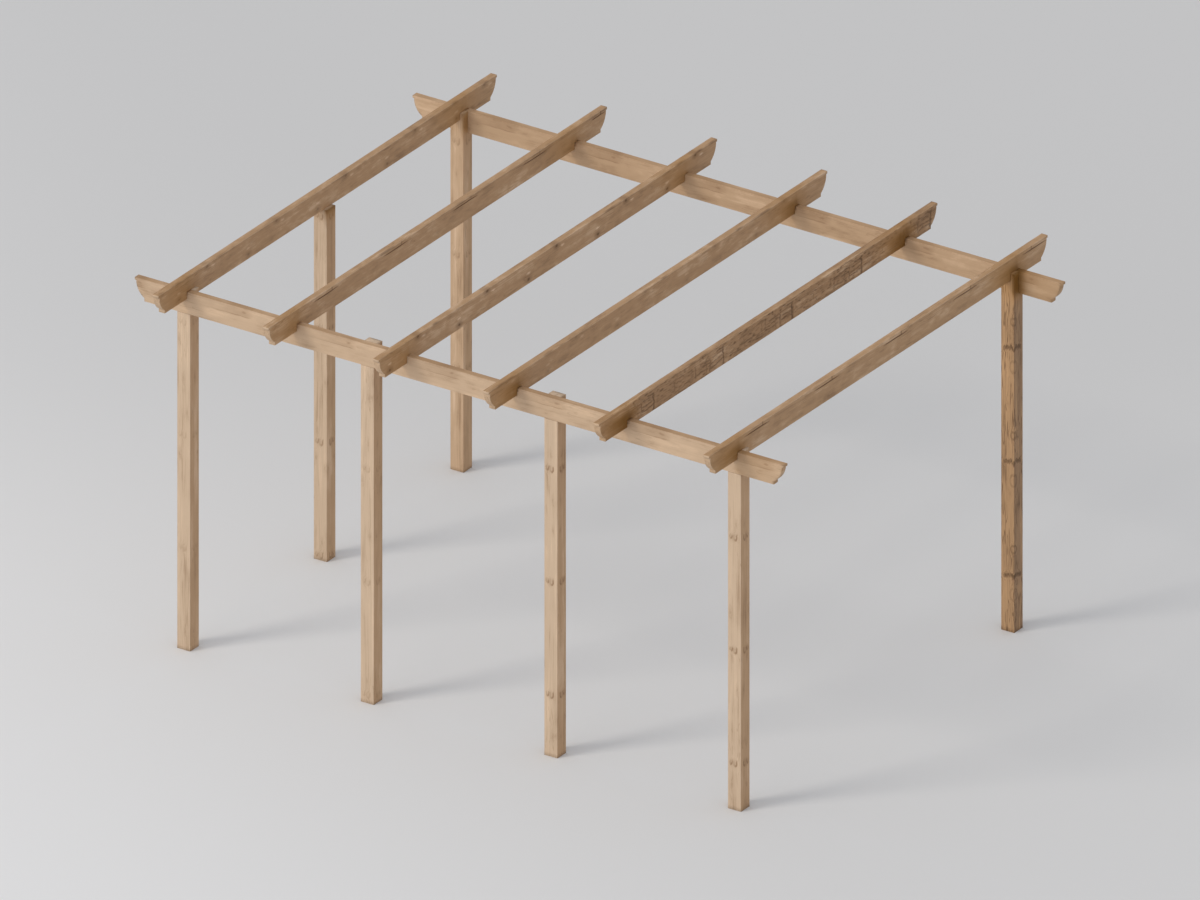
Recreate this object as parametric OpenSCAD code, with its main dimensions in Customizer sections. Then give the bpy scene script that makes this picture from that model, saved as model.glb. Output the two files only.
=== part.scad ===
// Open timber pergola: square posts carry a front and a rear beam, and shaped rafters cross both.
// Millimetres. The origin is on the floor under the middle of the roof: +X along the beams to the
// right, +Y to the rear, +Z up.

/* [Posts] */
// Side of the square posts
post_w = 95; // [80:1:140]
// Centre spacing of the posts along the front
front_bay = 1331; // [900:1:2000]
// Centre spacing of the posts along the left side
side_bay = 1485; // [900:5:2200]

/* [Beams] */
// Height of the beam undersides above the floor
clear_h = 2258; // [1900:1:2800]
// Thickness of the beams
beam_t = 45; // [35:1:60]
// Height of the beams
beam_h = 145; // [120:1:220]
// Reach of the beams past the centres of the corner posts
beam_reach = 355; // [150:1:600]
// Depth of the rafter housings in the tops of the beams
beam_notch = 24; // [10:1:40]

/* [Rafters] */
// Number of rafters, the first and the last over the corner posts
rafter_count = 6; // [3:1:9]
// Thickness of the rafters
rafter_t = 45; // [35:1:60]
// Height of the rafters
rafter_h = 145; // [120:1:220]
// Reach of the rafters past the centres of the corner posts
rafter_reach = 354; // [150:1:600]
// Depth of the beam housings in the undersides of the rafters
rafter_notch = 24; // [10:1:40]

/* [Shaped ends] */
// Height of the square nose at the top of each end
nose_h = 16; // [6:1:30]
// Depth of the shoulder under the nose
nose_step = 11; // [4:1:20]
// Distance that the underside stops short of the nose
end_setback = 70; // [40:1:100]
// Height of the upright step under the curve
end_step = 22; // [8:1:40]

/* [Fits] */
// Clearance on each side of a housed joint
joint_gap = 0.5; // [0.2:0.1:2]
// Radius of the eased arrises
arris_r = 2; // [1:0.5:6]

/* [Hidden] */
$fn = 96;

// How far a cut runs past the wood that it takes away
waste = 5;

// Post centres: three bays along the front, two along the side
corner_x = 3 * front_bay / 2;
corner_y = side_bay;
inner_x = front_bay / 2;

// The beams lie in the outer sides of the posts, flush with their outer faces
beam_length = 2 * (corner_x + beam_reach);
beam_top = clear_h + beam_h;
beam_y = corner_y + post_w / 2 - beam_t / 2;

// The rafters and the beams are halved over each other
rafter_length = 2 * (corner_y + rafter_reach);
rafter_low = beam_top - beam_notch - rafter_notch;
rafter_pitch = 2 * corner_x / (rafter_count - 1);

// Length of the end curve along the member
end_run = end_setback - nose_step;

front = -1;
rear = 1;

pine = [0.78, 0.66, 0.52];
shaded_pine = [0.70, 0.56, 0.40];
dark_pine = [0.60, 0.45, 0.31];

// Middle of a rafter, counted from the left
function rafter_x(i) = (i - 1) * rafter_pitch - corner_x;

// Radius of the end curve: it leaves the shoulder upright and meets the step at the set-back
function end_radius(h) = (end_run ^ 2 + (h - nose_h - end_step) ^ 2) / (2 * end_run);

// Rectangle with eased corners, centred
module eased_rect(w, h) {
    square([w - 2 * arris_r, h], center = true);
    square([w, h - 2 * arris_r], center = true);
    for (x = [-1, 1], y = [-1, 1])
        translate([x * (w / 2 - arris_r), y * (h / 2 - arris_r)])
            circle(arris_r);
}

// Wood sawn off an end whose nose is at the origin, with the piece lying towards +X
module end_offcut(h) {
    difference() {
        translate([-waste, -waste])
            square([end_setback + waste, h - nose_h + waste]);
        translate([nose_step + end_radius(h), h - nose_h])
            circle(end_radius(h), $fn = 360);
    }
}

// Side view of a member with both ends shaped, its underside on the X axis
module end_shaped_side(length, h) {
    difference() {
        translate([-length / 2, 0])
            square([length, h]);
        for (end = [0, 1])
            mirror([end, 0])
                translate([-length / 2, 0])
                    end_offcut(h);
    }
}

// Planed member along X with eased long arrises, its underside on the floor
module end_shaped_bar(length, h, t) {
    intersection() {
        rotate([90, 0, 0])
            linear_extrude(t, center = true)
                end_shaped_side(length, h);
        rotate([90, 0, 90])
            linear_extrude(length + 2 * waste, center = true)
                translate([0, h / 2])
                    eased_rect(t, h);
    }
}

// Square post on the floor
module plain_post(x, y, top) {
    translate([x, y, 0])
        linear_extrude(top)
            eased_rect(post_w, post_w);
}

// Slots that let every rafter down through what stands up beside a beam
module rafter_slots() {
    slot = [rafter_t + 2 * joint_gap, 2 * (corner_y + post_w), rafter_h];
    for (i = [1 : rafter_count])
        translate([rafter_x(i), 0, rafter_low + slot.z / 2])
            cube(slot, center = true);
}

// Post with a beam seat cut in its outer side, which leaves a tongue behind the beam
module beam_post(x, row) {
    seat = [post_w + 2 * waste, beam_t + waste, beam_h + waste];
    difference() {
        plain_post(x, row * corner_y, beam_top);
        translate([x, row * (beam_y + waste / 2), clear_h + seat.z / 2])
            cube(seat, center = true);
        rafter_slots();
    }
}

// Beam with a housing in its top for each rafter
module housed_beam(row) {
    housing = [rafter_t + 2 * joint_gap, beam_t + 2 * waste, beam_notch + waste];
    translate([0, row * beam_y, clear_h])
        difference() {
            end_shaped_bar(beam_length, beam_h, beam_t);
            for (i = [1 : rafter_count])
                translate([rafter_x(i), 0, beam_h - beam_notch + housing.z / 2])
                    cube(housing, center = true);
        }
}

// Rafter with a housing in its underside for each beam
module rafter(i) {
    housing = [beam_t + 2 * joint_gap, rafter_t + 2 * waste, rafter_notch + waste];
    color(pine)
        translate([rafter_x(i), 0, rafter_low])
            rotate(90)
                difference() {
                    end_shaped_bar(rafter_length, rafter_h, rafter_t);
                    for (row = [front, rear])
                        translate([row * beam_y, 0, rafter_notch - housing.z / 2])
                            cube(housing, center = true);
                }
}

module front_left_post() {
    color(pine)
        beam_post(-corner_x, front);
}

module front_inner_left_post() {
    color(pine)
        beam_post(-inner_x, front);
}

module front_inner_right_post() {
    color(pine)
        beam_post(inner_x, front);
}

module front_right_post() {
    color(pine)
        beam_post(corner_x, front);
}

// The middle post of the left side stands under the first rafter
module left_middle_post() {
    color(pine)
        plain_post(-corner_x, 0, rafter_low);
}

module rear_left_post() {
    color(shaded_pine)
        beam_post(-corner_x, rear);
}

module rear_right_post() {
    color(dark_pine)
        beam_post(corner_x, rear);
}

module front_beam() {
    color(pine)
        housed_beam(front);
}

module rear_beam() {
    color(shaded_pine)
        housed_beam(rear);
}

front_left_post();
front_inner_left_post();
front_inner_right_post();
front_right_post();
left_middle_post();
rear_left_post();
rear_right_post();
front_beam();
rear_beam();
for (i = [1 : rafter_count])
    rafter(i);
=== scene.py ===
"""Open timber pergola: planed pine posts, beams and rafters on a pale studio floor."""

from __future__ import annotations

import logging
import math
from dataclasses import dataclass, field
from enum import Enum
from typing import Any, ClassVar

import bmesh
import bpy
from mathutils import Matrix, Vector, noise

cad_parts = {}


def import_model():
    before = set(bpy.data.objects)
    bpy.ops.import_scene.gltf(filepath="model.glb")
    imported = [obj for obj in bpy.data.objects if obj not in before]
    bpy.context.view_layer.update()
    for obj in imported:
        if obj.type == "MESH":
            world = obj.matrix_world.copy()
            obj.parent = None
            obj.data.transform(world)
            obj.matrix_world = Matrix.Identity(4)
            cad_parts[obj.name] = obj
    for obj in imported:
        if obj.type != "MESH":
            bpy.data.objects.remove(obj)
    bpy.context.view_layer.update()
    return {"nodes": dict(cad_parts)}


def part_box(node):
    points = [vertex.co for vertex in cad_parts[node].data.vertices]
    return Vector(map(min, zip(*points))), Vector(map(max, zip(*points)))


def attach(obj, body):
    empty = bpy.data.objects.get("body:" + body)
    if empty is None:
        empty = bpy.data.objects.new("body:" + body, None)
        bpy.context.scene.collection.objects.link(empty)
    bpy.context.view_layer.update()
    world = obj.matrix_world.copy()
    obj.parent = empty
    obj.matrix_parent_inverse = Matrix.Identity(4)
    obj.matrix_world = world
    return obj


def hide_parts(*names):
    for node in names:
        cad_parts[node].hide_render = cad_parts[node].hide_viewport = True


LOG = logging.getLogger("pergola")
MM = 0.001

# Middles of the rafters along X and of the beams along Y, in metres
RAFTER_LINES = tuple(-1.9965 + 0.7986 * index for index in range(6))
BEAM_LINES = (-1.51, 1.51)

# Limits for welding, cutting and smoothing the meshes
WELD = 0.01 * MM
CUT_SNAP = 0.02 * MM
FLAT_TURN = math.radians(0.3)
SHARP_TURN = math.radians(50.0)

Colour = tuple[float, float, float]


def clamp(value: float) -> float:
    """Keeps a value from 0 to 1."""
    return min(1.0, max(0.0, value))


class Grain(Enum):
    """World axis that the fibres of a timber follow."""

    ALONG_X = 0
    ALONG_Y = 1
    ALONG_Z = 2

    @property
    def cross(self) -> tuple[int, int]:
        """Indices of the two world axes across the fibres."""
        return {0: (1, 2), 1: (0, 2), 2: (0, 1)}[self.value]


class Side(Enum):
    """Long face of a timber, as the world axis and sign of its normal."""

    RIGHT = (0, 1)
    TOP = (2, 1)

    @property
    def axis(self) -> int:
        """Index of the world axis of the normal."""
        return self.value[0]

    @property
    def sign(self) -> int:
        """Sign of the normal along its axis."""
        return self.value[1]


@dataclass(frozen=True)
class Check:
    """Drying crack that runs along the fibres in one face.

    Attributes:
        side: Face that the crack opens in.
        start: Distance from the low end of the timber, in metres.
        end: Distance from the low end where the crack closes, in metres.
        level: Offset from the middle of the face, in metres.
        branch: Distance from the start to a short crack across the fibres, in metres.
        width: Opening at the surface, in metres.
        depth: Greatest depth, in metres.
        branch_width: Opening of the short crack at the surface, in metres.
        branch_depth: Depth of the short crack, in metres.
    """

    side: Side
    start: float
    end: float
    level: float
    branch: float
    width: float = 7.0 * MM
    depth: float = 8.0 * MM
    branch_width: float = 12.0 * MM
    branch_depth: float = 3.0 * MM


@dataclass(frozen=True)
class Seam:
    """Jagged crack between the plates of a rough face.

    Attributes:
        place: Offset from the middle of its cluster, in metres.
        low: Where it begins in the other direction, in metres.
        high: Where it ends in the other direction, in metres.
        strength: Darkness and share of the full depth.
        half: Half of its width, in metres.
        taper: Length over which each end closes, in metres.
    """

    place: float
    low: float
    high: float
    strength: float
    half: float = 7.5 * MM
    taper: float = 15.0 * MM

    def at(self, offset: float, run: float) -> float:
        """Tells how open the crack is at a place.

        Args:
            offset: Place across the crack, from the middle of its cluster, in metres.
            run: Place along the crack, in metres.

        Returns:
            The opening, from 0 to the crack's strength.
        """
        ends = min(run - self.low, self.high - run) / self.taper
        return self.strength * max(0.0, 1.0 - abs(offset - self.place) / self.half) * clamp(ends)


@dataclass(frozen=True)
class Layer:
    """One layer of noise that follows the fibres.

    Attributes:
        along: Cells per metre along the fibres.
        across: Cells per metre across the fibres.
        detail: Number of finer layers.
        rough: Strength of the finer layers.
        sway: Cells that it shifts for each metre that the fibres bend.
        low: Noise where the tone begins to darken.
        high: Noise where the tone is darkest.
        middle: Darkening that counts as none.
    """

    along: float
    across: float
    detail: float = 2.0
    rough: float = 0.5
    sway: float = 0.0
    low: float = 0.0
    high: float = 1.0
    middle: float = 0.5


BROAD_STREAKS = Layer(0.9, 26.0, 3.0, 0.6, sway=20.0, low=0.34, high=0.68, middle=0.45)
NARROW_STREAKS = Layer(2.2, 95.0, 2.0, 0.6, sway=20.0, low=0.38, high=0.66, middle=0.45)
FIBRES = Layer(14.0, 420.0, 2.0, 0.55)
PATCHES = Layer(2.3, 8.0, low=0.34, high=0.66)
MOTTLES = Layer(8.5, 26.0, 3.0, 0.6, low=0.36, high=0.66, middle=0.45)


@dataclass(frozen=True)
class TimberFinish:
    """Colours and figure of one sort of sawn pine.

    Attributes:
        name: Name of the material.
        pale: Colour of the lit faces.
        deep: Colour of the faces on the shaded sides, a darker, more saturated copy that paints their
            shade.
        dark: Colour of latewood, knots and open cracks.
        streak: Strength of the long streaks.
        patch: Strength of the broad, slow changes of tone.
        mottle: Strength of the hand-sized blotches.
        knots: Strength of the scattered knots.
        whorl: Strength of the hooked knot marks that recur on every face.
        pairs: Strength of the small knots that recur by turns near the top and near the bottom.
        flame: Strength of the darker tongues that recur along the upper third.
        crown: Strength of the ragged knot bands round the whole timber.
        vein: Strength of the thin dark lines along the fibres.
        vein_rate: How close together those lines lie, in turns of tone per metre.
        whorl_pitch: Spacing of the recurring marks along the timber, in metres.
        rough: Mean roughness.
    """

    name: str
    pale: Colour
    deep: Colour
    dark: Colour
    streak: float = 0.40
    patch: float = 0.30
    mottle: float = 0.12
    knots: float = 0.55
    whorl: float = 0.0
    pairs: float = 0.0
    flame: float = 0.0
    crown: float = 0.0
    vein: float = 0.25
    vein_rate: float = 60.0
    whorl_pitch: float = 0.757
    rough: float = 0.58


POST_PINE = TimberFinish(
    "post_pine", (0.578, 0.426, 0.292), (0.520, 0.330, 0.186), (0.215, 0.112, 0.048),
    knots=0.30, whorl=0.74,
)
KNOTTY_PINE = TimberFinish(
    "knotty_pine", (0.450, 0.268, 0.135), (0.345, 0.206, 0.110), (0.095, 0.045, 0.018),
    streak=0.46, mottle=0.24, knots=0.20, crown=0.95, vein=0.62, vein_rate=62.0, whorl_pitch=0.7625,
)
BEAM_PINE = TimberFinish(
    "beam_pine", (0.555, 0.394, 0.258), (0.470, 0.292, 0.158), (0.215, 0.110, 0.046),
    streak=0.24, patch=0.34, mottle=0.26, knots=0.30, flame=1.55,
)
RAFTER_PINE = TimberFinish(
    "rafter_pine", (0.575, 0.420, 0.285), (0.450, 0.272, 0.142), (0.115, 0.055, 0.022),
    streak=0.20, patch=0.22, mottle=0.36, knots=0.22, pairs=0.85, vein=0.30, whorl_pitch=0.7535,
)
ROUGH_PINE = TimberFinish(
    "rough_pine", (0.560, 0.400, 0.264), (0.400, 0.236, 0.120), (0.078, 0.038, 0.016),
    streak=0.30, mottle=0.34, knots=0.20, vein=0.40, whorl_pitch=0.7525, rough=0.66,
)
# Colours of the golden stain at the joints, which also carries painted warm bounce light and painted
# contact shade; the darker one is mostly painted shade
STAIN_AND_SHADE: Colour = (0.350, 0.160, 0.022)
DARK_STAIN_AND_SHADE: Colour = (0.165, 0.070, 0.008)

# Cracks across and along the fibres in each cluster of the rough rafter
BUTTS = (
    Seam(0.0, -0.080, 0.050, 0.95, half=13.0 * MM),
    Seam(-0.134, -0.060, 0.032, 0.85),
    Seam(-0.182, -0.075, 0.052, 0.55),
    Seam(-0.298, -0.052, 0.044, 0.70),
    Seam(-0.336, -0.030, 0.048, 0.50),
    Seam(0.230, -0.045, 0.030, 0.50),
)
COURSES = (
    Seam(0.046, -0.080, 0.020, 0.95),
    Seam(0.022, -0.260, -0.120, 0.75),
    Seam(0.026, -0.120, 0.002, 0.60),
    Seam(0.000, -0.230, -0.120, 0.75),
    Seam(-0.006, -0.130, -0.004, 0.80),
    Seam(-0.030, -0.300, -0.150, 0.75),
    Seam(-0.034, -0.135, 0.006, 0.90),
    Seam(-0.046, 0.110, 0.210, 0.70),
    Seam(0.030, 0.170, 0.340, 0.45),
)


class Signal:
    """Shader output that takes part in arithmetic with numbers and other outputs."""

    def __init__(self, graph: Graph, socket: bpy.types.NodeSocket) -> None:
        """Wraps a socket.

        Args:
            graph: Graph that makes the nodes for the arithmetic.
            socket: Output socket to wrap.
        """
        self.graph = graph
        self.socket = socket

    def __add__(self, other: Value) -> Signal:
        """Adds a value."""
        return self.graph.math("ADD", self, other)

    def __radd__(self, other: Value) -> Signal:
        """Adds to a value."""
        return self.graph.math("ADD", other, self)

    def __sub__(self, other: Value) -> Signal:
        """Takes a value away."""
        return self.graph.math("SUBTRACT", self, other)

    def __rsub__(self, other: Value) -> Signal:
        """Takes away from a value."""
        return self.graph.math("SUBTRACT", other, self)

    def __mul__(self, other: Value) -> Signal:
        """Multiplies by a value."""
        return self.graph.math("MULTIPLY", self, other)

    def __rmul__(self, other: Value) -> Signal:
        """Multiplies a value."""
        return self.graph.math("MULTIPLY", other, self)

    def __truediv__(self, other: Value) -> Signal:
        """Divides by a value."""
        return self.graph.math("DIVIDE", self, other)

    def __rtruediv__(self, other: Value) -> Signal:
        """Divides a value."""
        return self.graph.math("DIVIDE", other, self)

    def __neg__(self) -> Signal:
        """Changes the sign."""
        return self.graph.math("MULTIPLY", self, -1.0)


Value = Signal | float | tuple[float, ...]


class Graph:
    """Node tree of a material or world, built through one method for any node."""

    def __init__(self, tree: bpy.types.NodeTree) -> None:
        """Empties the tree.

        Args:
            tree: Node tree to fill.
        """
        self.tree = tree
        tree.nodes.clear()

    def node(self, kind: str, inputs: dict[Any, Value] | None = None, **settings: Any) -> bpy.types.Node:
        """Adds a node, sets it up and joins its inputs.

        Args:
            kind: Node type.
            inputs: Values or signals by socket name or index.
            **settings: Properties of the node.

        Returns:
            The new node.
        """
        made = self.tree.nodes.new(kind)
        for key, value in settings.items():
            setattr(made, key, value)
        for key, value in (inputs or {}).items():
            if isinstance(value, Signal):
                self.tree.links.new(value.socket, made.inputs[key])
            else:
                made.inputs[key].default_value = value
        return made

    def out(
        self, kind: str, output: str | int, inputs: dict[Any, Value] | None = None, **settings: Any
    ) -> Signal:
        """Adds a node and picks one of its outputs.

        Args:
            kind: Node type.
            output: Name or index of the output.
            inputs: Values or signals by socket name or index.
            **settings: Properties of the node.

        Returns:
            The chosen output.
        """
        return Signal(self, self.node(kind, inputs, **settings).outputs[output])

    def math(self, operation: str, first: Value, second: Value = 0.0, third: Value = 0.0) -> Signal:
        """Works out a sum, product or other function of up to three values."""
        return self.out("ShaderNodeMath", 0, {0: first, 1: second, 2: third}, operation=operation)

    def largest(self, first: Signal, *others: Signal) -> Signal:
        """Picks the largest of some values.

        Args:
            first: One of the values.
            *others: The rest of them.

        Returns:
            The largest value.
        """
        for other in others:
            first = self.math("MAXIMUM", first, other)
        return first

    def magnitude(self, value: Value) -> Signal:
        """Drops the sign of a value."""
        return self.math("ABSOLUTE", value)

    def vector(self, x: Value, y: Value, z: Value) -> Signal:
        """Joins three values into a vector."""
        return self.out("ShaderNodeCombineXYZ", 0, {0: x, 1: y, 2: z})

    def noise(self, place: Signal, detail: float = 2.0, rough: float = 0.5) -> Signal:
        """Samples smooth noise from 0 to 1, with cells one unit wide."""
        inputs = {"Vector": place, "Scale": 1.0, "Detail": detail, "Roughness": rough}
        return self.out("ShaderNodeTexNoise", 0, inputs)

    def ramp(self, value: Value, low: float, high: float, start: float = 0.0, end: float = 1.0) -> Signal:
        """Carries a value smoothly from start to end as it goes from low to high."""
        inputs = {0: value, 1: low, 2: high, 3: start, 4: end}
        return self.out("ShaderNodeMapRange", 0, inputs, interpolation_type="SMOOTHSTEP", clamp=True)

    def mix(self, factor: Value, first: Value, second: Value) -> Signal:
        """Blends two colours."""
        inputs = {0: factor, 6: self._rgba(first), 7: self._rgba(second)}
        return self.out("ShaderNodeMix", 2, inputs, data_type="RGBA", clamp_factor=True)

    @staticmethod
    def _rgba(colour: Value) -> Value:
        """Gives a plain colour its fourth channel."""
        return (*colour, 1.0) if isinstance(colour, tuple) else colour


@dataclass(frozen=True)
class Place:
    """Place in the wood, measured from the middle of the timber's section, in metres.

    Attributes:
        along: Distance along the fibres.
        first: Offset along the first axis across them.
        second: Offset along the second axis across them.
    """

    along: Signal
    first: Signal
    second: Signal


@dataclass
class WoodShader:
    """Procedural planed pine that follows the marks written on each timber.

    Attributes:
        finish: Colours and figure of the wood.
        graph: Nodes of the material while it is made.
    """

    finish: TimberFinish
    graph: Graph = field(init=False)

    # Growth rings per metre, and the place of the pith in the section
    RING_RATE: ClassVar[float] = 170.0
    PITH: ClassVar[tuple[float, float]] = (-0.041, 0.067)
    # Distance that the fibres bend at a scattered knot and at a recurring one
    KNOT_BEND: ClassVar[float] = 0.012
    WHORL_BEND: ClassVar[float] = 0.020
    # Height of the surface relief
    RELIEF: ClassVar[float] = 1.2 * MM

    def build(self) -> bpy.types.Material:
        """Makes the material.

        Returns:
            The finished material.
        """
        finish = self.finish
        material = bpy.data.materials.new(finish.name)
        material.use_nodes = True
        graph = self.graph = Graph(material.node_tree)
        tone, crack, stain_and_shade, figure = (
            graph.out("ShaderNodeAttribute", "Fac", attribute_name=name)
            for name in ("shaded_face", "crack", "stain_and_shade", "figure")
        )
        grain = graph.out("ShaderNodeAttribute", "Vector", attribute_name="grain")
        split = graph.node("ShaderNodeSeparateXYZ", {0: grain})
        place = Place(*(Signal(graph, socket) for socket in split.outputs))

        knots, bend, fleck = self._knots(place, figure)
        marks = graph.largest(knots, self._veins(place, bend) * finish.vein, crack * 0.92)
        rings = self._rings(place, bend)
        fibre = self._layer(FIBRES, place, bend)
        shade = self._shade(place, bend) + (rings - 0.3) * 0.15 + (fibre - 0.5) * 0.15

        # Painted shade: faces on the shaded sides take a darker, more saturated copy of the colour
        body = graph.mix(tone, finish.pale, finish.deep)
        colour = graph.mix(graph.ramp(shade, 0.0, 1.0), body, finish.dark)
        bright = tuple(min(1.0, channel * 1.32) for channel in finish.pale)
        colour = graph.mix(graph.ramp(-shade, 0.0, 0.55) * 0.62 + fleck, colour, bright)
        colour = graph.mix(marks, colour, finish.dark)
        # Golden stain at the joints, with painted warm bounce light and painted contact shade
        colour = graph.mix(stain_and_shade * 0.75, colour, STAIN_AND_SHADE)
        colour = graph.mix(graph.ramp(stain_and_shade, 0.40, 1.0) * 0.72, colour, DARK_STAIN_AND_SHADE)

        height = rings * 0.25 + fibre * 0.5 - marks * 0.4
        surface = graph.out(
            "ShaderNodeBsdfPrincipled",
            0,
            {
                "Base Color": colour,
                "Roughness": finish.rough + (fibre - 0.5) * 0.18 + marks * 0.10,
                "Specular IOR Level": 0.32,
                "Normal": graph.out(
                    "ShaderNodeBump", 0, {"Strength": 0.22, "Distance": self.RELIEF, "Height": height}
                ),
            },
        )
        graph.node("ShaderNodeOutputMaterial", {0: surface})
        return material

    def _knots(self, place: Place, figure: Signal) -> tuple[Signal, Signal, Value]:
        """Gathers the sorts of knot that the finish has.

        Args:
            place: Place in the wood.
            figure: Strength of the recurring knots on the timber.

        Returns:
            The dark marks, the bend of the fibres round them, and the pale flecks beside them.
        """
        finish, graph = self.finish, self.graph
        girth = place.second - place.first
        scattered = self._scattered_knots(place.along, girth)
        marks = scattered * finish.knots
        bend = scattered * self.KNOT_BEND
        flecks: Value = 0.0
        if finish.whorl:
            hooks, swell = self._hooked_knots(place.along, girth)
            marks = graph.largest(marks, hooks * figure * finish.whorl)
            bend = bend + swell * figure * self.WHORL_BEND
        if finish.pairs:
            pairs, pale = self._paired_knots(place.along, place.second)
            marks = graph.largest(marks, pairs * figure * finish.pairs)
            flecks = pale * figure * 0.7
        if finish.flame:
            marks = graph.largest(marks, self._flames(place.along, place.second) * finish.flame)
        if finish.crown:
            crown, swell = self._crowned_knots(place.along, girth)
            marks = graph.largest(marks, crown * finish.crown)
            bend = bend + swell * self.WHORL_BEND
        return marks, bend, flecks

    def _layer(self, layer: Layer, place: Place, bend: Signal) -> Signal:
        """Samples a layer of noise.

        Args:
            layer: Layer to sample.
            place: Place in the wood.
            bend: Bend of the fibres round the knots.

        Returns:
            The noise, from 0 to 1.
        """
        across = place.first * layer.across
        if layer.sway:
            across = across + bend * layer.sway
        spot = self.graph.vector(place.along * layer.along, across, place.second * layer.across)
        return self.graph.noise(spot, layer.detail, layer.rough)

    def _shade(self, place: Place, bend: Signal) -> Signal:
        """Adds up the streaks, patches and blotches.

        Args:
            place: Place in the wood.
            bend: Bend of the fibres round the knots.

        Returns:
            The change of tone, darker where it is above 0.
        """
        finish = self.finish
        broad, narrow, patch, mottle = (
            self.graph.ramp(self._layer(layer, place, bend), layer.low, layer.high) - layer.middle
            for layer in (BROAD_STREAKS, NARROW_STREAKS, PATCHES, MOTTLES)
        )
        streaks = broad * finish.streak + narrow * finish.streak * 0.5
        return streaks + patch * finish.patch + mottle * finish.mottle

    def _rings(self, place: Place, bend: Signal) -> Signal:
        """Draws growth rings about a pith that wanders along the timber.

        Args:
            place: Place in the wood.
            bend: Bend of the fibres round the knots.

        Returns:
            The rings, from 0 in the earlywood to 1 in the latewood.
        """
        graph = self.graph
        sway = graph.noise(graph.vector(place.along * 0.8, 3.1, 0.0)) - 0.5
        drift = graph.noise(graph.vector(place.along * 0.6, 0.0, 8.7)) - 0.5
        across = place.first - self.PITH[0] + sway * 0.05
        down = place.second - self.PITH[1] + drift * 0.07
        radius = graph.math("SQRT", across * across + down * down) + bend
        phase = graph.math("FRACT", radius * self.RING_RATE)
        return graph.ramp(phase, 0.35, 0.95) * (1.0 - graph.ramp(phase, 0.95, 1.0))

    def _from_mark(self, along: Signal) -> Signal:
        """Distance along the timber from the nearest of the recurring marks."""
        half = self.finish.whorl_pitch / 2
        return self.graph.math("WRAP", along, half, -half)

    def _scattered_knots(self, along: Signal, girth: Signal) -> Signal:
        """Draws a knot in some of the cells of a loose pattern, each with a frayed shade round it.

        Args:
            along: Distance along the fibres.
            girth: Distance round the timber.

        Returns:
            The knots, from 0 to 1.
        """
        graph = self.graph
        fray = graph.noise(graph.vector(along * 45.0, girth * 110.0, 0.0)) - 0.5
        spot = graph.vector(along * 3.6 + fray * 0.10, girth * 13.0 + fray * 0.24, 0.0)
        cell = graph.node("ShaderNodeTexVoronoi", {"Vector": spot, "Scale": 1.0}, voronoi_dimensions="2D")
        distance = Signal(graph, cell.outputs["Distance"])
        core = graph.ramp(distance, 0.03, 0.10, 1.0, 0.0)
        shade = graph.ramp(distance, 0.06, 0.26, 1.0, 0.0) * 0.42
        draw = graph.out("ShaderNodeSeparateColor", 0, {0: Signal(graph, cell.outputs["Color"])})
        return graph.largest(core, shade) * graph.ramp(draw, 0.52, 0.62)

    def _hooked_knots(self, along: Signal, girth: Signal) -> tuple[Signal, Signal]:
        """Draws pairs of hooked marks on every face, mirrored at the arrises.

        Args:
            along: Distance along the fibres.
            girth: Distance round the timber.

        Returns:
            The marks, from 0 to 1, and the bend that they cause.
        """
        graph = self.graph
        fray = graph.noise(graph.vector(along * 40.0, girth * 75.0, 0.0), 3.0) - 0.5
        rise = self._from_mark(along)
        across = graph.magnitude(girth)
        wide = self._hook(rise + fray * 0.012, across - 0.053 + fray * 0.010, 0.011)
        slim = self._hook(rise - 0.006 + fray * 0.030, across - 0.024 + fray * 0.026, 0.008)
        aside = across - 0.042
        swell = graph.ramp(graph.math("SQRT", rise * rise * 0.7 + aside * aside), 0.004, 0.040, 1.0, 0.0)
        hooks = graph.largest(wide, slim) * graph.ramp(rise + fray * 0.04, 0.008, 0.032, 1.0, 0.0)
        return graph.largest(hooks, swell * 0.30), swell

    def _hook(self, rise: Signal, run: Signal, radius: float) -> Signal:
        """Draws a dark stroke shaped like a U, stronger in one limb.

        Args:
            rise: Height above the middle of the hook, in metres.
            run: Distance across from the middle of the hook, in metres.
            radius: Half of the hook's width, in metres.

        Returns:
            The stroke, from 0 to 1.
        """
        graph = self.graph
        fall = graph.math("MINIMUM", rise, 0.0) * 0.65
        bowl = graph.math("SQRT", fall * fall + run * run)
        stroke = graph.ramp(graph.magnitude(bowl - radius), 0.002, 0.008, 1.0, 0.0)
        return stroke * graph.ramp(run, -radius, radius, 0.50, 1.0)

    def _paired_knots(self, along: Signal, down: Signal) -> tuple[Signal, Signal]:
        """Draws small dark knots by turns near the top and near the bottom.

        Args:
            along: Distance along the fibres.
            down: Height above the middle of the timber.

        Returns:
            The knots and the pale fleck beside each, both from 0 to 1.
        """
        graph = self.graph
        fray = graph.noise(graph.vector(along * 60.0, down * 90.0, 1.0)) - 0.5
        knots: list[Signal] = []
        flecks: list[Signal] = []
        for place, level, fleck in ((0.0, 0.060, (0.064, -0.018)), (-0.304, -0.042, (-0.002, 0.042))):
            rise = self._from_mark(along - place) + fray * 0.014
            drop = down - level + fray * 0.014
            distance = graph.math("SQRT", rise * rise * 0.45 + drop * drop)
            knots.append(graph.ramp(distance, 0.004, 0.016, 1.0, 0.0))
            knots.append(graph.ramp(distance, 0.008, 0.036, 0.48, 0.0))
            beside, above = rise - fleck[0], drop - fleck[1]
            apart = graph.math("SQRT", beside * beside * 0.12 + above * above)
            flecks.append(graph.ramp(apart, 0.002, 0.011, 1.0, 0.0))
        return graph.largest(*knots), graph.largest(*flecks)

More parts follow.
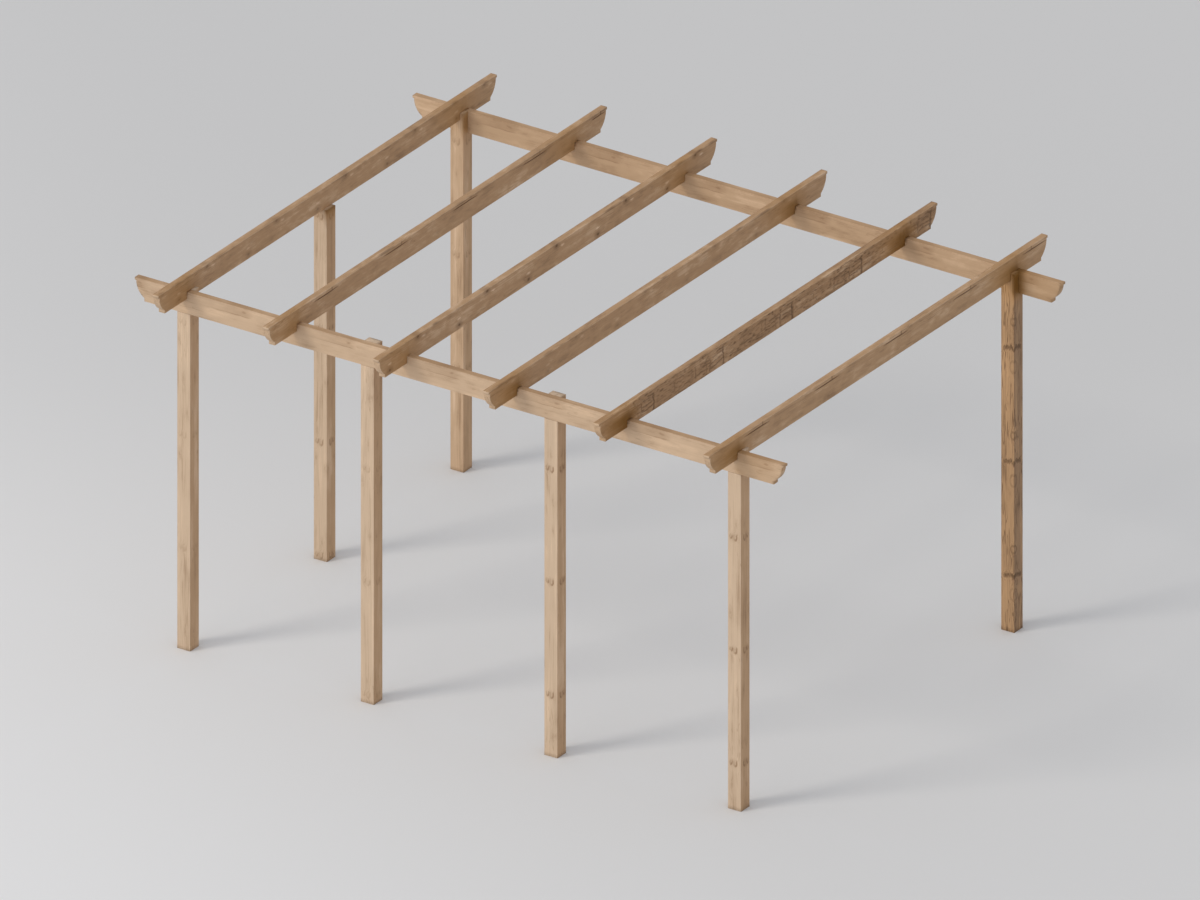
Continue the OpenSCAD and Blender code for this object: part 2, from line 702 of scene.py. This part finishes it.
    def _flames(self, along: Signal, down: Signal) -> Signal:
        """Draws darker tongues along the upper third that grow towards a small knot.

        Args:
            along: Distance along the fibres.
            down: Height above the middle of the timber.

        Returns:
            The tongues with the thin line below each, from 0 to 1.
        """
        graph = self.graph
        fray = graph.noise(graph.vector(along * 14.0, down * 60.0, 6.0), 3.0) - 0.5
        level = down + fray * 0.018
        bow = (down - 0.045) * (down - 0.045) * 14.0
        rise = self._from_mark(along) + bow + fray * 0.070
        grown = graph.ramp(rise, -0.38, -0.04, 0.10, 1.0) * graph.ramp(rise, -0.035, 0.035, 1.0, 0.0)
        band = graph.ramp(level, 0.008, 0.028) * 0.17
        line = graph.ramp(graph.magnitude(level - 0.018), 0.001, 0.006, 0.32, 0.0)
        beside, above = rise + 0.050, down - 0.047
        apart = graph.math("SQRT", beside * beside * 0.20 + above * above)
        return graph.largest(band, line, graph.ramp(apart, 0.002, 0.018, 0.36, 0.0)) * grown

    def _crowned_knots(self, along: Signal, girth: Signal) -> tuple[Signal, Signal]:
        """Draws ragged dark bands round the timber with ringed ovals between them.

        Args:
            along: Distance along the fibres.
            girth: Distance round the timber.

        Returns:
            The marks, from 0 to 1, and the bend that they cause.
        """
        graph = self.graph
        rise = self._from_mark(along)
        away = 0.095 - graph.magnitude(girth)
        zigzag = graph.noise(graph.vector(along * 6.0, away * 75.0, 0.0)) - 0.5
        jag = graph.noise(graph.vector(along * 40.0, away * 130.0, 2.0)) - 0.5
        tip = graph.ramp(away, 0.0, 0.026, 0.026, 0.0)
        level = graph.magnitude(rise + tip + away * 0.33 + zigzag * 0.028 + jag * 0.052)
        fade = graph.ramp(jag + zigzag, -0.30, 0.20, 1.0, 0.55)
        band = graph.ramp(level, 0.007, 0.021, 1.0, 0.0) * graph.ramp(away, 0.066, 0.088, 1.0, 0.0) * fade
        aside, above, below = away - 0.009, rise - 0.163, rise + 0.140
        upper = graph.math("SQRT", above * above * 0.45 + aside * aside) + jag * 0.008
        lower = graph.math("SQRT", below * below * 0.30 + aside * aside) + jag * 0.010
        ring = graph.largest(
            graph.ramp(graph.magnitude(upper - 0.016), 0.002, 0.008, 0.72, 0.0),
            graph.ramp(graph.magnitude(lower - 0.021), 0.002, 0.007, 0.40, 0.0),
        )
        marks = graph.largest(band, ring * graph.ramp(zigzag, -0.25, 0.15, 1.0, 0.55))
        near = graph.math("MINIMUM", graph.math("MINIMUM", upper, lower), level + 0.010)
        return marks, graph.ramp(near, 0.0, 0.050, 1.0, 0.0)

    def _veins(self, place: Place, bend: Signal) -> Signal:
        """Draws thin dark lines along the fibres that part round the knots, in some places only.

        Args:
            place: Place in the wood.
            bend: Bend of the fibres round the knots.

        Returns:
            The lines, from 0 to 1.
        """
        graph, along, first, second = self.graph, place.along, place.first, place.second
        vein, rate = self.finish.vein, self.finish.vein_rate
        line = graph.noise(graph.vector(along * 4.0, first * rate + bend * 60.0, second * rate), 1.0)
        zone = graph.noise(graph.vector(along * 1.9, first * 6.0 + 4.0, second * 6.0))
        near = graph.ramp(graph.magnitude(line - 0.5), 0.008, 0.015 + 0.05 * vein, 1.0, 0.0)
        return near * graph.ramp(zone, 0.62 - 0.42 * vein, 0.74 - 0.42 * vein)


@dataclass
class Timber:
    """One sawn member of the frame, remade from its CAD node with the marks of real wood.

    Attributes:
        node: Name of the CAD node that it stands for.
        finish: Wood that it is cut from.
        grain: Axis of its fibres.
        phase: Shift of the figure along the fibres, in metres.
        checks: Drying cracks in its faces.
        pitch: Spacing of the cuts along the fibres, in metres.
        strip: Spacing of the cuts across the fibres, in metres.
        wear: Greatest loss of wood at the arrises, in metres.
        heave: Greatest hollow of the planed faces, in metres.
        plates: Depth of the cracks between the rough plates of the sides, in metres.
        chips: Depth of the chips in the top right arris, in metres.
        tone: Painted shade: how far every face leans to the deeper, shaded colour.
        soak_and_shade: How deep the dark stain and painted shade at its joints are.
        figure: Strength of the recurring knot marks on this timber.
        arris_rows: Distances from the top and right faces of extra cuts along the arrises, in metres.
        shaded_sides: Faces that take the deeper colour as painted shade, with those opposite.
        joints: World places along the fibres where another timber meets it.
        piece: Finished object.
    """

    node: str
    finish: TimberFinish
    grain: Grain
    phase: float = 0.0
    checks: tuple[Check, ...] = ()
    pitch: float = 30.0 * MM
    strip: float = 24.0 * MM
    wear: float = 1.4 * MM
    heave: float = 0.35 * MM
    plates: float = 0.0
    chips: float = 0.0
    tone: float = 0.0
    soak_and_shade: float = 0.0
    figure: float = 1.0
    arris_rows: tuple[float, ...] = ()
    shaded_sides: tuple[Side, ...] = (Side.RIGHT,)
    joints: tuple[float, ...] = ()
    piece: bpy.types.Object | None = field(default=None, init=False)

    def build(self, source: bpy.types.Object) -> bpy.types.Object:
        """Remakes the timber in place of its CAD node.

        Args:
            source: Object of the CAD node.

        Returns:
            The new piece.
        """
        mesh = bpy.data.meshes.new(self.node + "_timber")
        work = bmesh.new()
        work.from_mesh(source.data)
        bmesh.ops.remove_doubles(work, verts=work.verts[:], dist=WELD)
        bmesh.ops.dissolve_limit(work, angle_limit=FLAT_TURN, verts=work.verts[:], edges=work.edges[:])
        low, high = (Vector(corner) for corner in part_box(self.node))
        self._cut_lengths(work, low, high)
        self._mark_grain(work, low, high)
        if self.plates:
            self._break_plates(work)
        if self.chips:
            self._chip_arris(work, high)
        for check in self.checks:
            self._carve(work, check, low, high)
        self._weather(work)
        work.to_mesh(mesh)
        work.free()
        mesh.shade_smooth()
        mesh.set_sharp_from_angle(angle=SHARP_TURN)
        self.piece = bpy.data.objects.new(self.node + "_timber", mesh)
        bpy.context.scene.collection.objects.link(self.piece)
        normals = self.piece.modifiers.new("flat faces", "WEIGHTED_NORMAL")
        normals.keep_sharp = True
        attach(self.piece, "root")
        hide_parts(self.node)
        LOG.info("%s has %d faces", self.node, len(mesh.polygons))
        return self.piece

    def dress(self, material: bpy.types.Material) -> None:
        """Gives the timber its wood.

        Args:
            material: Material made from the timber's finish.
        """
        self.piece.data.materials.clear()
        self.piece.data.materials.append(material)

    def _cut_lengths(self, work: bmesh.types.BMesh, low: Vector, high: Vector) -> None:
        """Cuts the faces into short lengths and strips so that they can take marks.

        Args:
            work: Mesh to cut.
            low: Low corner of the timber.
            high: High corner of the timber.
        """
        along = self.grain.value
        self._slice(work, None, along, self._steps(low[along], high[along], self.pitch))
        for axis in self.grain.cross:
            rows = [high[axis] - distance for distance in self.arris_rows]
            self._slice(work, None, axis, self._steps(low[axis], high[axis], self.strip) + rows)

    @staticmethod
    def _steps(low: float, high: float, pitch: float) -> list[float]:
        """Gives even places between two limits, which are both left out."""
        count = max(2, round((high - low) / pitch))
        return [low + (high - low) * index / count for index in range(1, count)]

    @staticmethod
    def _slice(
        work: bmesh.types.BMesh, faces: list[bmesh.types.BMFace] | None, axis: int, places: list[float]
    ) -> None:
        """Cuts faces by planes across an axis.

        Args:
            work: Mesh to cut.
            faces: Faces to cut, or None for the whole mesh.
            axis: World axis of the planes' normal.
            places: Positions of the planes along the axis.
        """
        normal = Vector((0.0, 0.0, 0.0))
        normal[axis] = 1.0
        for place in places:
            if faces is None:
                parts = [*work.verts, *work.edges, *work.faces]
            else:
                edges = {edge for face in faces for edge in face.edges}
                verts = {vert for face in faces for vert in face.verts}
                parts = [*verts, *edges, *faces]
            bmesh.ops.bisect_plane(
                work, geom=parts, dist=CUT_SNAP, plane_co=normal * place, plane_no=normal
            )

    def _level_axis(self, side: Side) -> int:
        """World axis across the fibres that lies in a face."""
        return next(axis for axis in self.grain.cross if axis != side.axis)

    def _carve(self, work: bmesh.types.BMesh, check: Check, low: Vector, high: Vector) -> None:
        """Opens a drying crack along one face.

        Args:
            work: Mesh to shape.
            check: Crack to open.
            low: Low corner of the timber.
            high: High corner of the timber.
        """
        along = self.grain.value
        level_axis = self._level_axis(check.side)
        level = (low[level_axis] + high[level_axis]) / 2 + check.level
        start, end = low[along] + check.start, low[along] + check.end
        half = check.width / 2
        guard = half + 2.0 * MM
        reach = 30.0 * MM

        def faces_near() -> list[bmesh.types.BMFace]:
            """Faces of the cracked side that the crack crosses."""
            return [
                face for face in work.faces
                if face.normal[check.side.axis] * check.side.sign > 0.99
                and start < face.calc_center_median()[along] < end
                and abs(face.calc_center_median()[level_axis] - level) < reach
            ]

        for offset in (-guard, -half, 0.0, half, guard):
            self._slice(work, faces_near(), level_axis, [level + offset])
        crack = work.verts.layers.float["crack"]
        for vert in {vert for face in faces_near() for vert in face.verts}:
            offset = vert.co[level_axis] - level
            if abs(offset) > guard * 1.02 or not start <= vert.co[along] <= end:
                continue
            opening = math.sin(math.pi * (vert.co[along] - start) / (end - start)) ** 0.5
            drift = noise.noise(Vector((vert.co[along] * 9.0, level * 40.0, self.phase))) * 4.0 * MM
            if abs(offset) < half * 0.1:
                vert.co[check.side.axis] -= check.side.sign * check.depth * opening
                vert[crack] = min(1.0, opening * 1.4)
            elif abs(offset) < half * 1.05:
                vert.co[level_axis] = level + offset * (0.25 + 0.75 * opening)
                vert[crack] = 0.6 * opening
            vert.co[level_axis] += drift * opening
        self._branch(work, check, start + check.branch, level)

    def _branch(self, work: bmesh.types.BMesh, check: Check, place: float, level: float) -> None:
        """Opens a short crack across the fibres, from a drying crack up to the arris.

        Args:
            work: Mesh to shape.
            check: Drying crack that it leaves.
            place: World place along the fibres.
            level: World level of the drying crack.
        """
        along = self.grain.value
        level_axis = self._level_axis(check.side)
        half = check.branch_width / 2
        reach = 20.0 * MM

        def faces_near() -> list[bmesh.types.BMFace]:
            """Faces of the cracked side beside the branch and above the crack."""
            return [
                face for face in work.faces
                if face.normal[check.side.axis] * check.side.sign > 0.6
                and abs(face.calc_center_median()[along] - place) < reach
                and face.calc_center_median()[level_axis] > level
            ]

        for offset in (-half, 0.0, half):
            self._slice(work, faces_near(), along, [place + offset])
        crack = work.verts.layers.float["crack"]
        for vert in {vert for face in faces_near() for vert in face.verts}:
            if abs(vert.co[along] - place) < 0.1 * MM and vert.co[level_axis] > level - 2.0 * MM:
                vert.co[check.side.axis] -= check.side.sign * check.branch_depth
                vert[crack] = 1.0

    def _mark_grain(self, work: bmesh.types.BMesh, low: Vector, high: Vector) -> None:
        """Writes each vertex's place in the wood and its stain with painted shade, and at each corner how
        much painted shade its face takes.

        Args:
            work: Mesh to mark.
            low: Low corner of the timber.
            high: High corner of the timber.
        """
        along = self.grain.value
        across, down = self.grain.cross
        middle = (low + high) / 2
        grain = work.verts.layers.float_vector.new("grain")
        stain_and_shade = work.verts.layers.float.new("stain_and_shade")
        figure = work.verts.layers.float.new("figure")
        work.verts.layers.float.new("crack")
        for vert in work.verts:
            vert[grain] = (
                vert.co[along] - low[along] + self.phase,
                vert.co[across] - middle[across],
                vert.co[down] - middle[down],
            )
            vert[stain_and_shade] = self._stain_and_shade_at(vert.co, high)
            vert[figure] = self.figure
        # Painted shade: faces on the shaded sides, and the arris strips a little, take the shaded colour
        tone = work.loops.layers.float.new("shaded_face")
        for face in work.faces:
            flat = max(abs(part) for part in face.normal) > 0.98
            deep = sum(abs(face.normal[side.axis]) for side in self.shaded_sides) if flat else 0.15
            for loop in face.loops:
                loop[tone] = min(1.0, deep + self.tone)

    def _stain_and_shade_at(self, place: Vector, high: Vector) -> float:
        """Tells how much golden resin stain, with painted warm shade, the wood takes near its joints.

        Args:
            place: World place.
            high: High corner of the timber; not used here.

        Returns:
            The stain with painted shade, from 0 to 1.
        """
        gap = min((abs(place[self.grain.value] - joint) for joint in self.joints), default=1.0)
        return max(0.0, 1.0 - gap / 0.080) ** 2

    def _break_plates(self, work: bmesh.types.BMesh) -> None:
        """Sinks dark cracks between rough plates, in clusters that recur along the timber.

        Args:
            work: Mesh to shape.
        """
        work.normal_update()
        grain = work.verts.layers.float_vector["grain"]
        crack = work.verts.layers.float["crack"]
        stain_and_shade = work.verts.layers.float["stain_and_shade"]
        pitch = self.finish.whorl_pitch
        moves = []
        for vert in work.verts:
            along, across, down = vert[grain]
            ragged = noise.noise(Vector((along * 42.0, across * 20.0, down * 55.0)))
            slow = noise.noise(Vector((along * 9.0, down * 14.0, 3.0)))
            rise = (along + 12.0 * MM * ragged + 12.0 * MM * slow + pitch / 2) % pitch - pitch / 2
            level = down + 5.0 * MM * ragged + 12.0 * MM * slow
            knot = 1.2 - math.hypot(rise + 0.219, down - 0.062) / (11.0 * MM)
            fine = 1.5 * (noise.noise(Vector((along * 24.0, across * 40.0, down * 130.0))) - 0.12)
            butt = max(seam.at(rise, level) for seam in BUTTS)
            course = max(seam.at(level, rise) for seam in COURSES)
            rough = clamp((along - self.phase - 0.30) / 0.08) * (1.0 - 0.5 * vert[stain_and_shade])
            facing = vert.normal.x if vert.normal.x > 0.0 else vert.normal.x * 0.65
            vert[crack] = rough * clamp(max(butt, course, knot, fine)) * min(1.0, 0.12 + facing ** 2)
            moves.append((vert, vert.normal * (self.plates * vert[crack])))
        for vert, move in moves:
            vert.co -= move

    def _chip_arris(self, work: bmesh.types.BMesh, high: Vector) -> None:
        """Breaks dark chips out of the top right arris, in some stretches only.

        Args:
            work: Mesh to shape.
            high: High corner of the timber.
        """
        crack = work.verts.layers.float["crack"]
        along = self.grain.value
        reach = 15.0 * MM
        inward = Vector((-0.7, 0.0, -0.7))
        for vert in work.verts:
            near = 1.0 - math.hypot(high.x - vert.co.x, high.z - vert.co.z) / reach
            if near <= 0.0:
                continue
            spot = noise.noise(Vector((vert.co[along] * 9.0, self.phase, 0.0)))
            stretch = noise.noise(Vector((vert.co[along] * 1.6, 5.0, self.phase)))
            loss = clamp((spot + stretch - 0.36) * 2.6)
            vert[crack] = max(vert[crack], 0.55 * loss * min(1.0, near * 1.6))
            vert.co += inward * (self.chips * loss * near)

    def _weather(self, work: bmesh.types.BMesh) -> None:
        """Hollows the planed faces a little and wears the arrises unevenly.

        Args:
            work: Mesh to shape.
        """
        work.normal_update()
        shift = Vector((self.phase, self.phase * 1.7, 0.0))
        along = self.grain.value
        moves = []
        for vert in work.verts:
            if abs(vert.normal[along]) > 0.2:
                continue
            sharp = 1.0 - max(abs(part) for part in vert.normal)
            slow = 0.5 + 0.5 * noise.noise(vert.co * 3.0 + shift)
            quick = 0.5 + 0.5 * noise.noise(vert.co * 17.0 - shift)
            loss = self.heave * (0.4 * slow + 0.6 * quick)
            if sharp > 0.05:
                loss += self.wear * max(0.0, quick - 0.35)
            moves.append((vert, vert.normal * loss))
        for vert, move in moves:
            vert.co -= move


class Post(Timber):
    """Square upright, stained at the head, with painted shade under its joint."""

    # Height over which the stain and painted shade grow, depth of the shaded right face, and their share
    # elsewhere
    FADE: ClassVar[float] = 0.11
    FACE_DEPTH: ClassVar[float] = 8.0 * MM
    OTHER_FACES: ClassVar[float] = 0.4

    def _stain_and_shade_at(self, place: Vector, high: Vector) -> float:
        """Tells how much stain and painted shade the wood takes: most at the head, and more on the shaded
        right face than elsewhere.

        Args:
            place: World place.
            high: High corner of the post.

        Returns:
            The stain with painted shade, from 0 to 1.
        """
        head = min((place.z - joint for joint in self.joints), default=-1.0) / self.FADE
        face = 1.0 if high.x - place.x < self.FACE_DEPTH else self.OTHER_FACES
        return self.soak_and_shade * clamp(head) * face


class Beam(Timber):
    """Horizontal member along the front or the rear, with more golden stain and painted shade past its
    last rafter.
    """

    # Half of a rafter's thickness, and how far a post shows past the rafter
    RAFTER_HALF: ClassVar[float] = 22.0 * MM
    POST_SHOW: ClassVar[float] = 25.0 * MM
    # Lengths over which the dark stain with painted shade beside the last post, and the golden tint, fade
    SOAK_AND_SHADE_FADE: ClassVar[float] = 0.11
    TINT_FADE: ClassVar[float] = 0.60

    def _stain_and_shade_at(self, place: Vector, high: Vector) -> float:
        """Tells how much stain and painted shade the wood takes, faintly beside the rafters and most
        beside the last post.

        Args:
            place: World place.
            high: High corner of the beam.

        Returns:
            The stain with painted shade, from 0 to 1.
        """
        # Faint painted warm shade beside each rafter, and dark stain with painted shade beside the last
        # post
        past = place.x - self.joints[-1] - self.RAFTER_HALF
        near = super()._stain_and_shade_at(place, high) * 0.15
        if past <= 0.0:
            return near
        soaked_and_shaded = self.soak_and_shade * clamp(1.0 - (past - self.POST_SHOW) / self.SOAK_AND_SHADE_FADE)
        return max(near, 0.34 * max(0.0, 1.0 - past / self.TINT_FADE), soaked_and_shaded)


class Rafter(Timber):
    """Roof member from the front to the rear, golden with stain and painted warm shade where it stands in
    front of a beam.
    """

    # Lengths over which the golden tint and painted shade fade to the front and to the rear of a beam
    FRONT_FADE: ClassVar[float] = 0.40
    REAR_FADE: ClassVar[float] = 0.16
    # Height above which the dark stain and painted shade stop, the height of the change, and the length
    # of the darkened wood
    CLEAR_HEIGHT: ClassVar[float] = 2.480
    CLEAR_FADE: ClassVar[float] = 0.05
    SOAK_AND_SHADE_FADE: ClassVar[float] = 0.36

    def _stain_and_shade_at(self, place: Vector, high: Vector) -> float:
        """Tells how much stain and painted shade the wood takes: most low at the beams, and fading slowly
        to the front.

        Args:
            place: World place.
            high: High corner of the rafter; not used here.

        Returns:
            The stain with painted shade, from 0 to 1.
        """
        ahead = min((joint - place.y for joint in self.joints if joint > place.y), default=1.0)
        behind = min((place.y - joint for joint in self.joints if joint <= place.y), default=1.0)
        # Golden stain with painted warm bounce light in front of and behind each beam, and painted
        # contact shade low at the beams
        front = 0.52 * max(0.0, 1.0 - ahead / self.FRONT_FADE) ** 0.8
        rear = 0.42 * max(0.0, 1.0 - behind / self.REAR_FADE)
        low = clamp((self.CLEAR_HEIGHT - place.z) / self.CLEAR_FADE)
        soaked_and_shaded = 0.6 * self.soak_and_shade * low * max(0.0, 1.0 - min(ahead, behind * 3.0) / self.SOAK_AND_SHADE_FADE)
        return min(1.0, max(front, rear) + soaked_and_shaded)


@dataclass(frozen=True)
class RafterMarks:
    """What differs from one rafter to the next.

    Attributes:
        phase: Shift of the figure along the fibres, in metres.
        figure: Strength of the recurring knots.
        soak_and_shade: How deep the dark stain and painted shade at the beams are.
        crack: Distance from the front end to the first drying crack, in metres, or None.
        rough: Whether its sides are broken into plates.
    """

    phase: float
    figure: float = 0.0
    soak_and_shade: float = 0.0
    crack: float | None = None
    rough: bool = False

    def checks(self) -> tuple[Check, ...]:
        """Spaces the drying cracks evenly under the top arris.

        Returns:
            The cracks, or none.
        """
        if self.crack is None:
            return ()
        length, level, last_end = 0.275, 0.048, 3.660
        starts = [self.crack + RAFTER_PINE.whorl_pitch * turn for turn in range(5)]
        return tuple(
            Check(Side.RIGHT, start, min(start + length, last_end), level, branch)
            for start, branch in zip(starts, (0.196, 0.196, 0.196, 0.196, 0.10))
        )


RAFTERS = (
    RafterMarks(13.034, figure=0.65),
    RafterMarks(17.6, crack=0.494),
    RafterMarks(21.426, figure=1.0),
    RafterMarks(25.424, figure=0.45, soak_and_shade=0.5),
    RafterMarks(29.505, soak_and_shade=1.0, rough=True),
    RafterMarks(34.8, soak_and_shade=0.55, crack=0.386),
)


@dataclass
class Pergola:
    """The whole frame: seven posts, two beams and six rafters.

    Attributes:
        timbers: Every member of the frame.
    """

    timbers: list[Timber] = field(default_factory=list)

    def build(self, nodes: dict[str, bpy.types.Object]) -> None:
        """Makes every timber.

        Args:
            nodes: Objects of the CAD nodes by name.
        """
        self.timbers = [*self._posts(), *self._beams(), *self._rafters()]
        for timber in self.timbers:
            timber.build(nodes[timber.node])

    def dress(self) -> None:
        """Gives every timber the material of its finish."""
        finishes = dict.fromkeys(timber.finish for timber in self.timbers)
        materials = {finish: WoodShader(finish).build() for finish in finishes}
        for timber in self.timbers:
            timber.dress(materials[timber.finish])

    @staticmethod
    def _posts() -> list[Timber]:
        """Plans the posts, each with its knots at the heights that show.

        Returns:
            The seven posts.
        """
        wood = (POST_PINE, Grain.ALONG_Z)
        return [
            Post("front_left_post", *wood, phase=3.103, figure=0.30),
            Post("front_inner_left_post", *wood, phase=6.002, figure=0.40),
            Post("front_inner_right_post", *wood, phase=7.915),
            Post("front_right_post", *wood, phase=10.286),
            Post("left_middle_post", *wood, phase=12.079, figure=0.80, soak_and_shade=0.90, joints=(2.25,)),
            # The rear left post leans wholly to the shaded colour as painted shade
            Post("rear_left_post", *wood, phase=15.205, tone=0.6, figure=0.60, soak_and_shade=0.65, joints=(2.20,)),
            Post(
                "rear_right_post", KNOTTY_PINE, Grain.ALONG_Z,
                phase=17.906, wear=3.0 * MM, heave=1.0 * MM, soak_and_shade=1.0, joints=(2.18,),
            ),
        ]

    @staticmethod
    def _beams() -> list[Timber]:
        """Plans the beams.

        Returns:
            The front and the rear beam.
        """
        wood = (BEAM_PINE, Grain.ALONG_X)
        edges = (Side.RIGHT, Side.TOP)
        return [
            Beam("front_beam", *wood, phase=1.4285, shaded_sides=edges, joints=RAFTER_LINES),
            # The rear beam leans wholly to the shaded colour as painted shade
            Beam(
                "rear_beam", *wood,
                phase=8.3335, tone=0.55, soak_and_shade=0.95, shaded_sides=edges, joints=RAFTER_LINES,
            ),
        ]

    @staticmethod
    def _rafters() -> list[Timber]:
        """Plans the rafters, two of them cracked under the top arris and one rough.

        Returns:
            The six rafters from left to right.
        """
        planed = {
            "pitch": 14.0 * MM, "strip": 36.0 * MM, "wear": 1.6 * MM, "heave": 0.4 * MM,
            "arris_rows": (5.0 * MM, 11.0 * MM, 16.0 * MM),
        }
        rough = {
            "pitch": 6.5 * MM, "strip": 6.5 * MM, "wear": 3.0 * MM, "heave": 1.0 * MM, "plates": 3.2 * MM,
        }
        return [
            Rafter(
                f"rafter_{number}",
                ROUGH_PINE if marks.rough else RAFTER_PINE,
                Grain.ALONG_Y,
                phase=marks.phase,
                checks=marks.checks(),
                chips=4.0 * MM,
                figure=marks.figure,
                soak_and_shade=marks.soak_and_shade,
                shaded_sides=(Side.RIGHT, Side.TOP),
                joints=BEAM_LINES,
                **(rough if marks.rough else planed),
            )
            for number, marks in enumerate(RAFTERS, start=1)
        ]


@dataclass(frozen=True)
class Lamp:
    """Distant soft light.

    Attributes:
        name: Name of the light.
        strength: Strength of the light.
        spread: Angle that the light seems to fill, in degrees.
        course: Direction that the light travels.
        colour: Colour of the light.
    """

    name: str
    strength: float
    spread: float
    course: tuple[float, float, float]
    colour: Colour

    def build(self) -> None:
        """Sets the light."""
        lamp = bpy.data.lights.new(self.name, "SUN")
        lamp.energy = self.strength
        lamp.angle = math.radians(self.spread)
        lamp.color = self.colour
        light = bpy.data.objects.new(self.name, lamp)
        light.rotation_mode = "QUATERNION"
        light.rotation_quaternion = Vector(self.course).to_track_quat("-Z", "Y")
        bpy.context.scene.collection.objects.link(light)


@dataclass(frozen=True)
class Studio:
    """Pale floor, soft daylight and the parallel camera.

    Attributes:
        azimuth: Turn of the camera to the right of the front, in degrees.
        elevation: Height of the camera above the horizon, in degrees.
        width: Width of the view, in metres.
        aim: Height of the middle of the view, in metres.
        distance: Distance of the camera from that middle, in metres.
        floor_half: Half of the floor's width, in metres.
        floor_dull: Colour of the floor where it is darkest.
        floor_left_light: Share of painted light by which it is lighter towards the front left.
        floor_near_light: Share of painted light by which it is lighter towards the camera.
        sky: Strength of the light from all round.
        sky_tint: Colour of that light.
        beyond: Grey that shows beyond the floor.
        lamps: High soft light from the front left, and very soft light from low at the front.
    """

    azimuth: float = 33.70
    elevation: float = 25.88
    width: float = 7.2385
    aim: float = 1.2576
    distance: float = 20.0
    floor_half: float = 60.0
    floor_dull: Colour = (0.640 * 1.008, 0.640, 0.640 * 0.990)
    floor_left_light: float = 0.25
    floor_near_light: float = 0.10
    sky: float = 0.62
    sky_tint: Colour = (0.968, 0.992, 1.045)
    beyond: float = 0.56
    lamps: tuple[Lamp, ...] = (
        Lamp("key", 0.80, 16.0, (0.42, 0.61, -0.67), (1.0, 0.955, 0.88)),
        Lamp("fill", 0.85, 60.0, (0.30, 0.92, -0.25), (1.0, 1.0, 1.0)),
    )

    def build(self) -> None:
        """Makes the floor, the lights and the camera."""
        self._floor()
        self._sky()
        for lamp in self.lamps:
            lamp.build()
        self._camera()
        bpy.context.scene.view_settings.view_transform = "Standard"

    def _floor(self) -> None:
        """Lays a wide floor with painted light that makes it a little lighter towards the front left and
        towards the camera.
        """
        mesh = bpy.data.meshes.new("floor")
        work = bmesh.new()
        bmesh.ops.create_grid(work, x_segments=1, y_segments=1, size=self.floor_half)
        work.to_mesh(mesh)
        work.free()
        floor = bpy.data.objects.new("floor", mesh)
        bpy.context.scene.collection.objects.link(floor)
        material = bpy.data.materials.new("studio floor")
        material.use_nodes = True
        graph = Graph(material.node_tree)
        split = graph.node("ShaderNodeSeparateXYZ", {0: graph.out("ShaderNodeTexCoord", "Object")})
        x, y = (Signal(graph, split.outputs[index]) for index in (0, 1))
        # Painted light falloff: the floor's colour grows lighter towards the front left and towards the
        # camera
        front_left = graph.ramp(x * -0.6 - y * 0.8, -1.0, 7.0)
        nearer = graph.ramp(x * 0.555 - y * 0.832, -4.8, -0.6)
        gain = self.floor_left_light + self.floor_near_light
        light = tuple(channel * (1.0 + gain) for channel in self.floor_dull)
        factor = (front_left * self.floor_left_light + nearer * self.floor_near_light) / gain
        surface = graph.out(
            "ShaderNodeBsdfPrincipled",
            0,
            {
                "Base Color": graph.mix(factor, self.floor_dull, light),
                "Roughness": 0.9,
                "Specular IOR Level": 0.1,
            },
        )
        graph.node("ShaderNodeOutputMaterial", {0: surface})
        mesh.materials.append(material)

    def _sky(self) -> None:
        """Lights the scene evenly from all round, and shows a pale grey beyond the floor."""
        world = bpy.data.worlds.new("studio")
        bpy.context.scene.world = world
        world.use_nodes = True
        graph = Graph(world.node_tree)
        rays = graph.node("ShaderNodeLightPath").outputs
        kinds = ("Is Camera Ray", "Is Glossy Ray", "Is Transmission Ray")
        seen = graph.largest(*(Signal(graph, rays[kind]) for kind in kinds))
        light = graph.out("ShaderNodeBackground", 0, {0: (*self.sky_tint, 1.0), 1: self.sky})
        grey = (self.beyond, self.beyond, self.beyond, 1.0)
        view = graph.out("ShaderNodeBackground", 0, {0: grey, 1: 1.0})
        surface = graph.out("ShaderNodeMixShader", 0, {0: seen, 1: light, 2: view})
        graph.node("ShaderNodeOutputWorld", {0: surface})

    def _camera(self) -> None:
        """Sets the parallel camera at the front right."""
        turn, lift = math.radians(self.azimuth), math.radians(self.elevation)
        back = Vector(
            (math.sin(turn) * math.cos(lift), -math.cos(turn) * math.cos(lift), math.sin(lift))
        )
        lens = bpy.data.cameras.new("view")
        lens.type = "ORTHO"
        lens.ortho_scale = self.width
        lens.clip_end = self.distance * 10.0
        camera = bpy.data.objects.new("view", lens)
        camera.location = Vector((0.0, 0.0, self.aim)) + back * self.distance
        camera.rotation_mode = "QUATERNION"
        camera.rotation_quaternion = (-back).to_track_quat("-Z", "Y")
        bpy.context.scene.collection.objects.link(camera)
        bpy.context.scene.camera = camera


def main() -> None:
    """Builds the pergola and its studio round the CAD frame."""
    logging.basicConfig(level=logging.INFO, format="%(name)s: %(message)s")
    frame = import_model()
    pergola = Pergola()
    pergola.build(frame["nodes"])
    pergola.dress()
    Studio().build()


if __name__ == "__main__":
    main()
